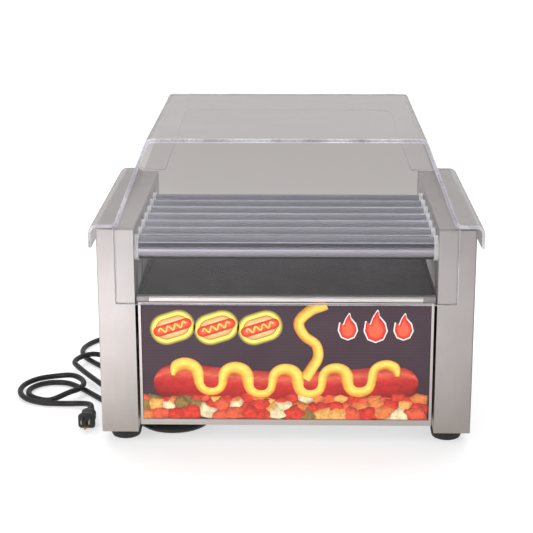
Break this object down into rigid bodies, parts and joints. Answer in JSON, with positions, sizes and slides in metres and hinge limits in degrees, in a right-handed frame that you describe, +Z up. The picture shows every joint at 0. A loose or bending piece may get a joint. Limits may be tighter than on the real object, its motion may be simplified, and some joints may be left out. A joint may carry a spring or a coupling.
{
  "type": "hot dog roller grill",
  "caption": "Countertop hot dog roller grill with chain-driven heated rollers, a clear lift-off guard, a drip tray and a bun drawer behind a picture panel.",
  "frame": {"origin": "middle of the overall width and depth, without the mains cord, on the surface that the feet stand on", "axes": "+X along the rollers, across the machine; +Y from the customer's side to the operator's side; +Z up"},
  "size_m": [0.7644, 0.5348, 0.488],
  "materials": {
    "stainless": "satin brushed stainless sheet",
    "dark_steel": "dark coated steel",
    "galvanised": "dull zinc-coated steel",
    "chrome": "polished chrome plate",
    "acrylic": "clear bent acrylic sheet, faintly tinted",
    "seal_white": "white fluoropolymer",
    "foot_rubber": "black moulded rubber",
    "black_plastic": "black moulded plastic",
    "graphic": "printed food picture without lettering, on a dark ground",
    "amber_lens": "amber moulded lens",
    "cord_jacket": "black flexible cord jacket",
    "motor_paint": "dark grey paint"
  },
  "bodies": {
    "frame": {"left_side_cover": "stainless", "right_side_cover": "stainless", "left_bearing_wall": "stainless", "right_bearing_wall": "stainless", "left_drawer_rail": "galvanised", "right_drawer_rail": "galvanised", "base_pan": "galvanised", "tray_deck": "dark_steel", "sign_frame": "stainless", "sign_panel": "graphic", "foot_front_left": "foot_rubber", "foot_front_right": "foot_rubber", "foot_rear_left": "foot_rubber", "foot_rear_right": "foot_rubber", "roller_seal_left_1": "seal_white", "roller_seal_right_1": "seal_white", "roller_seal_left_2": "seal_white", "roller_seal_right_2": "seal_white", "roller_seal_left_3": "seal_white", "roller_seal_right_3": "seal_white", "roller_seal_left_4": "seal_white", "roller_seal_right_4": "seal_white", "roller_seal_left_5": "seal_white", "roller_seal_right_5": "seal_white", "roller_seal_left_6": "seal_white", "roller_seal_right_6": "seal_white", "roller_seal_left_7": "seal_white", "roller_seal_right_7": "seal_white", "heater_rods": "dark_steel", "drive_chain": "dark_steel", "gear_motor": "motor_paint", "thermostat_1": "galvanised", "thermostat_2": "galvanised", "switch_bezel": "black_plastic", "pilot_lamp": "amber_lens", "strain_relief": "foot_rubber", "mains_cord": "cord_jacket", "mains_plug": "black_plastic"},
    "guard": {"guard_hood": "acrylic", "guard_front_panel": "acrylic", "guard_rear_arch": "acrylic"},
    "drip_tray": {"drip_tray": "dark_steel"},
    "bun_drawer": {"bun_drawer": "stainless", "drawer_handle": "black_plastic"},
    "roller_1": {"roller_1": "chrome"},
    "roller_2": {"roller_2": "chrome"},
    "roller_3": {"roller_3": "chrome"},
    "roller_4": {"roller_4": "chrome"},
    "roller_5": {"roller_5": "chrome"},
    "roller_6": {"roller_6": "chrome"},
    "roller_7": {"roller_7": "chrome"},
    "motor_sprocket": {"motor_sprocket": "galvanised"},
    "thermostat_knob_1": {"thermostat_knob_1": "black_plastic"},
    "thermostat_knob_2": {"thermostat_knob_2": "black_plastic"},
    "switch_rocker": {"switch_rocker": "black_plastic"}
  },
  "joints": [
    {"name": "guard_lift", "type": "slide", "parent": "frame", "child": "guard", "axis": [0, 0, 1], "range_m": [0, 0.15]},
    {"name": "drip_tray_slide", "type": "slide", "parent": "frame", "child": "drip_tray", "axis": [0, 1, 0], "range_m": [0, 0.38]},
    {"name": "bun_drawer_slide", "type": "slide", "parent": "frame", "child": "bun_drawer", "axis": [0, 1, 0], "range_m": [0, 0.34]},
    {"name": "roller_1_spin", "type": "hinge", "parent": "frame", "child": "roller_1", "pos_m": [0, -0.195, 0.314], "axis": [1, 0, 0], "continuous": true},
    {"name": "roller_2_spin", "type": "hinge", "parent": "frame", "child": "roller_2", "pos_m": [0, -0.147, 0.314], "axis": [1, 0, 0], "continuous": true},
    {"name": "roller_3_spin", "type": "hinge", "parent": "frame", "child": "roller_3", "pos_m": [0, -0.099, 0.314], "axis": [1, 0, 0], "continuous": true},
    {"name": "roller_4_spin", "type": "hinge", "parent": "frame", "child": "roller_4", "pos_m": [0, -0.051, 0.314], "axis": [1, 0, 0], "continuous": true},
    {"name": "roller_5_spin", "type": "hinge", "parent": "frame", "child": "roller_5", "pos_m": [0, -0.003, 0.314], "axis": [1, 0, 0], "continuous": true},
    {"name": "roller_6_spin", "type": "hinge", "parent": "frame", "child": "roller_6", "pos_m": [0, 0.045, 0.314], "axis": [1, 0, 0], "continuous": true},
    {"name": "roller_7_spin", "type": "hinge", "parent": "frame", "child": "roller_7", "pos_m": [0, 0.093, 0.314], "axis": [1, 0, 0], "continuous": true},
    {"name": "motor_spin", "type": "hinge", "parent": "frame", "child": "motor_sprocket", "pos_m": [0.2445, -0.051, 0.15], "axis": [1, 0, 0], "continuous": true},
    {"name": "thermostat_1_turn", "type": "hinge", "parent": "frame", "child": "thermostat_knob_1", "pos_m": [0.261, 0.2, 0.3], "axis": [0, 1, 0], "range_deg": [0, 270]},
    {"name": "thermostat_2_turn", "type": "hinge", "parent": "frame", "child": "thermostat_knob_2", "pos_m": [0.261, 0.2, 0.245], "axis": [0, 1, 0], "range_deg": [0, 270]},
    {"name": "power_switch_rock", "type": "hinge", "parent": "frame", "child": "switch_rocker", "pos_m": [0.261, 0.1995, 0.19], "axis": [1, 0, 0], "range_deg": [0, 14]}
  ],
  "couplings": [
    {"joint": "roller_2_spin", "follows": "roller_1_spin", "ratio": 1},
    {"joint": "roller_3_spin", "follows": "roller_1_spin", "ratio": 1},
    {"joint": "roller_4_spin", "follows": "roller_1_spin", "ratio": 1},
    {"joint": "roller_5_spin", "follows": "roller_1_spin", "ratio": 1},
    {"joint": "roller_6_spin", "follows": "roller_1_spin", "ratio": 1},
    {"joint": "roller_7_spin", "follows": "roller_1_spin", "ratio": 1},
    {"joint": "motor_spin", "follows": "roller_1_spin", "ratio": 1}
  ]
}
